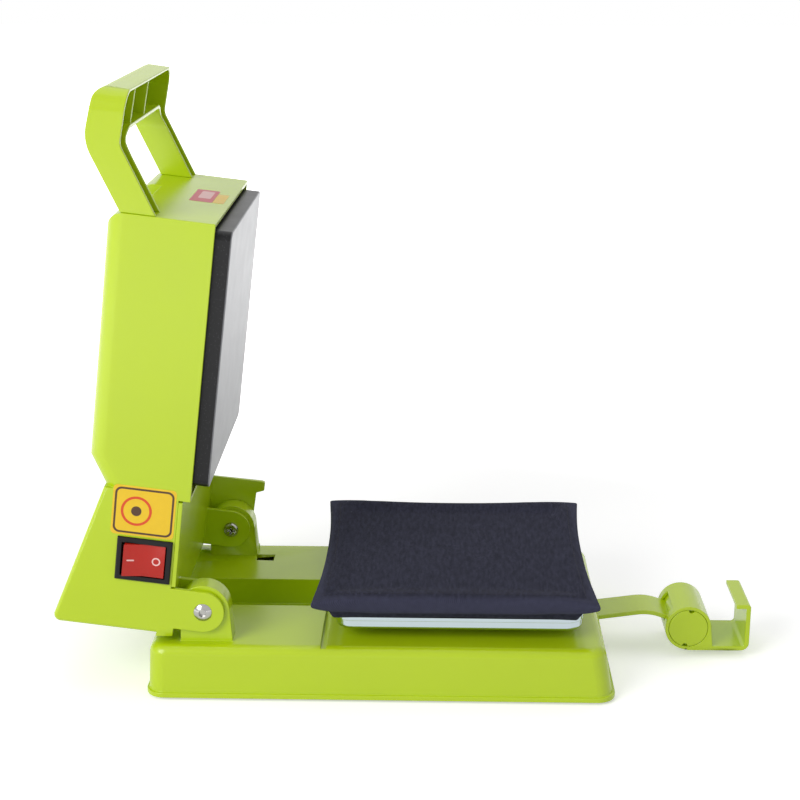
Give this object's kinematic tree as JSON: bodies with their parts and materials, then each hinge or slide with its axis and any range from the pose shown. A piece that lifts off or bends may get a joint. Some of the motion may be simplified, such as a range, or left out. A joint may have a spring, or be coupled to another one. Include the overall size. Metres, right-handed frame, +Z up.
{
  "type": "label heat press",
  "caption": "Clamshell label heat press with a hinged heated hood, padded tray, rocker switch, carrying handle and swing-up latch arm with a hook.",
  "frame": {"origin": "on the table, under the middle of the whole press as it stands open", "axes": "+X from the hood hinge towards the latch, +Y away from the rocker switch, +Z up"},
  "size_m": [0.419, 0.177, 0.3552],
  "materials": {
    "green_abs": "gloss moulded ABS",
    "platen_coat": "satin non-stick coat on cast aluminium",
    "chromed_tray": "bright chrome",
    "pad_denim": "woven denim",
    "pad_foam": "open silicone foam",
    "black_rubber": "matt",
    "bright_steel": "zinc plated",
    "nickel": "nickel plated",
    "switch_black": "gloss",
    "switch_red": "gloss translucent",
    "panel_grey": "matt film",
    "smoked_window": "smoked acrylic",
    "button_grey": "satin",
    "board_green": "solder mask",
    "mat_white": "mineral wool",
    "heater_foil": "polyimide film",
    "plate_grey": "powder coat",
    "inlet_black": "moulded nylon"
  },
  "bodies": {
    "base": {"base_cover": "green_abs", "base_bottom_plate": "plate_grey", "rubber_feet": "black_rubber", "base_screws": "bright_steel", "tray": "chromed_tray", "tray_foam": "pad_foam", "tray_cushions": "black_rubber", "tray_screws": "bright_steel", "press_pad": "pad_denim", "latch_pin": "bright_steel"},
    "hood": {"hinge_nuts": "nickel", "hinge_screws": "nickel", "hood_shell": "green_abs", "hood_inner_cover": "green_abs", "handle": "green_abs", "heat_platen": "platen_coat", "heating_element": "heater_foil", "insulation_mat": "mat_white", "heat_shield": "bright_steel", "platen_standoffs": "bright_steel", "platen_screws": "bright_steel", "shield_screws": "bright_steel", "thermostat": "bright_steel", "thermal_fuse": "mat_white", "switch_body": "switch_black", "control_panel": "panel_grey", "display_window": "smoked_window", "display_module": "switch_black", "control_board": "board_green", "board_screws": "bright_steel", "power_inlet": "inlet_black"},
    "rocker": {"switch_rocker": "switch_red"},
    "button_set": {"button_set": "button_grey"},
    "button_down": {"button_down": "button_grey"},
    "button_up": {"button_up": "button_grey"},
    "arm": {"latch_arm": "green_abs", "latch_core": "green_abs"},
    "hook": {"latch_hook": "green_abs"}
  },
  "joints": [
    {"name": "hood_hinge", "type": "hinge", "parent": "base", "child": "hood", "pos_m": [-0.12155, 0, 0.052], "axis": [0, 1, 0], "range_deg": [0, 83.23]},
    {"name": "rocker_tilt", "type": "hinge", "parent": "hood", "child": "rocker", "pos_m": [-0.15484, -0.0782, 0.0846], "axis": [0.1179, 0, 0.993], "range_deg": [-16, 0]},
    {"name": "button_set_push", "type": "slide", "parent": "hood", "child": "button_set", "axis": [0.9216, 0, -0.3881], "range_m": [0, 0.0008], "stiffness_N_per_m": 300},
    {"name": "button_down_push", "type": "slide", "parent": "hood", "child": "button_down", "axis": [0.9216, 0, -0.3881], "range_m": [0, 0.0008], "stiffness_N_per_m": 300},
    {"name": "button_up_push", "type": "slide", "parent": "hood", "child": "button_up", "axis": [0.9216, 0, -0.3881], "range_m": [0, 0.0008], "stiffness_N_per_m": 300},
    {"name": "arm_swing", "type": "hinge", "parent": "base", "child": "arm", "pos_m": [0.11065, 0, 0.0225], "axis": [0, 1, 0], "range_deg": [-81, 0]},
    {"name": "hook_swivel", "type": "hinge", "parent": "arm", "child": "hook", "pos_m": [0.17145, 0, 0.0195], "axis": [0, 1, 0], "range_deg": [-20, 0]}
  ]
}
